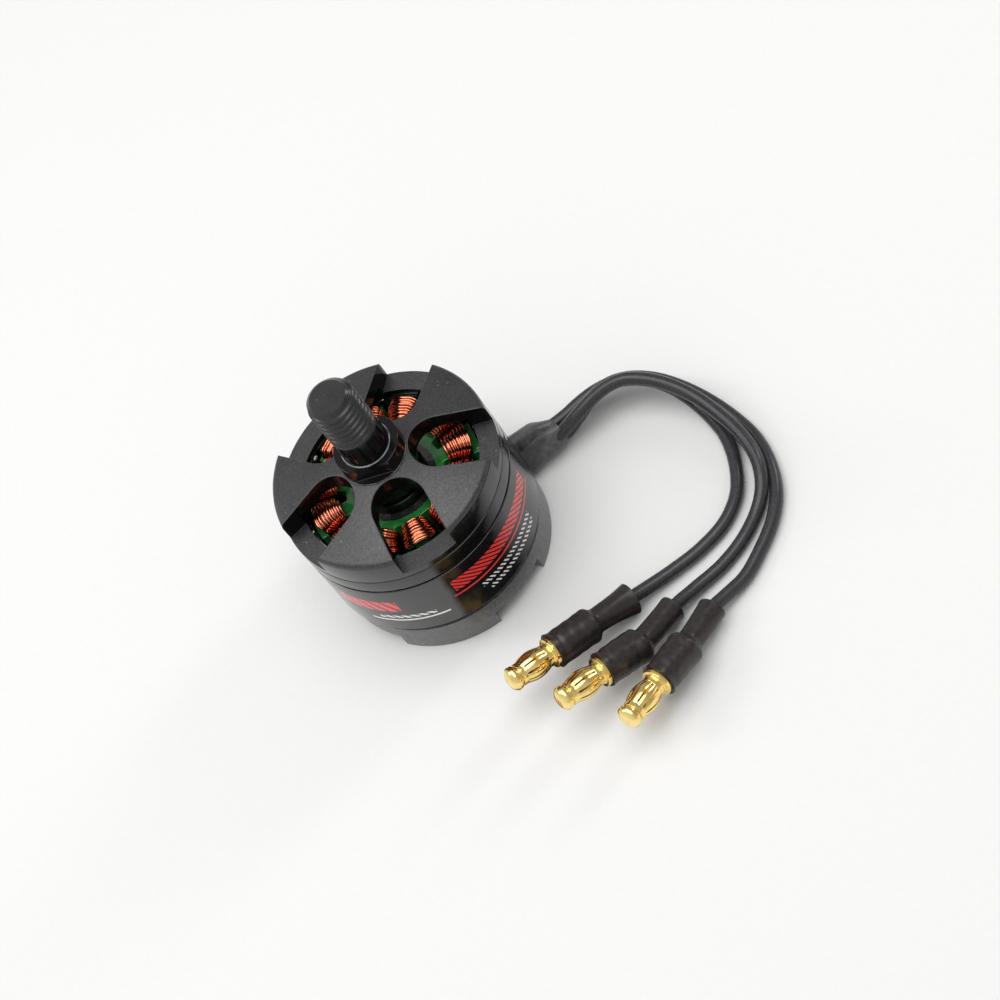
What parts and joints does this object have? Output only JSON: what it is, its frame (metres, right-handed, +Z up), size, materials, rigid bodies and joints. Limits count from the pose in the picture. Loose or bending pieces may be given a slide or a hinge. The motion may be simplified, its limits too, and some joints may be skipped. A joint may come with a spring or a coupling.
{
  "type": "brushless outrunner motor",
  "caption": "Small outrunner motor: slotted bell turning on two ball bearings round a wound stator, threaded propeller post, notched mount, and leads with gold bullet plugs.",
  "frame": {"origin": "centre of the mounting face, on the shaft's axis", "axes": "+Z up the shaft to the propeller thread; +X out through the notch where the leads leave"},
  "size_m": [0.0468, 0.054, 0.0378],
  "materials": {
    "cap_anodised": "bead-blasted black anodising",
    "ring_black": "semi-gloss black with a printed band",
    "magnet_nickel": "nickel plate",
    "adapter_black": "glossy black anodising",
    "shaft_steel": "ground steel",
    "clip_steel": "spring steel",
    "bearing_steel": "polished steel",
    "cage_brass": "pressed",
    "shield_steel": "pressed sheet",
    "base_anodised": "fine black anodising",
    "core_epoxy": "green epoxy coat on laminations",
    "winding_copper": "enamelled copper wire",
    "exit_sleeve": "heat-shrink tube",
    "lead_silicone": "silicone insulation",
    "plug_gold": "gold plate",
    "plug_sleeve": "heat-shrink tube"
  },
  "bodies": {
    "stator": {"mount_base": "base_anodised", "stator_core": "core_epoxy", "winding_phase_a": "winding_copper", "winding_phase_b": "winding_copper", "winding_phase_c": "winding_copper", "lower_bearing_outer_race": "bearing_steel", "upper_bearing_outer_race": "bearing_steel", "lower_bearing_shields": "shield_steel", "upper_bearing_shields": "shield_steel", "lead_exit_sleeve": "exit_sleeve", "lead_a": "lead_silicone", "lead_b": "lead_silicone", "lead_c": "lead_silicone", "bullet_pin_a": "plug_gold", "bullet_pin_b": "plug_gold", "bullet_pin_c": "plug_gold", "bullet_spring_a": "plug_gold", "bullet_spring_b": "plug_gold", "bullet_spring_c": "plug_gold", "bullet_sleeve_a": "plug_sleeve", "bullet_sleeve_b": "plug_sleeve", "bullet_sleeve_c": "plug_sleeve"},
    "rotor": {"bell_cap": "cap_anodised", "flux_ring": "ring_black", "rotor_magnets": "magnet_nickel", "prop_adapter": "adapter_black", "motor_shaft": "shaft_steel", "shaft_circlip": "clip_steel", "lower_shim_washer": "clip_steel", "upper_shim_washer": "clip_steel", "lower_bearing_inner_race": "bearing_steel", "upper_bearing_inner_race": "bearing_steel"},
    "ball_sets": {"lower_bearing_balls": "bearing_steel", "upper_bearing_balls": "bearing_steel", "lower_ball_cage": "cage_brass", "upper_ball_cage": "cage_brass"}
  },
  "joints": [
    {"name": "rotor_spin", "type": "hinge", "parent": "stator", "child": "rotor", "pos_m": [0, 0, 0.01], "axis": [0, 0, 1], "continuous": true},
    {"name": "ball_roll", "type": "hinge", "parent": "stator", "child": "ball_sets", "pos_m": [0, 0, 0.01], "axis": [0, 0, 1], "continuous": true}
  ],
  "couplings": [
    {"joint": "ball_roll", "follows": "rotor_spin", "ratio": 0.38}
  ]
}
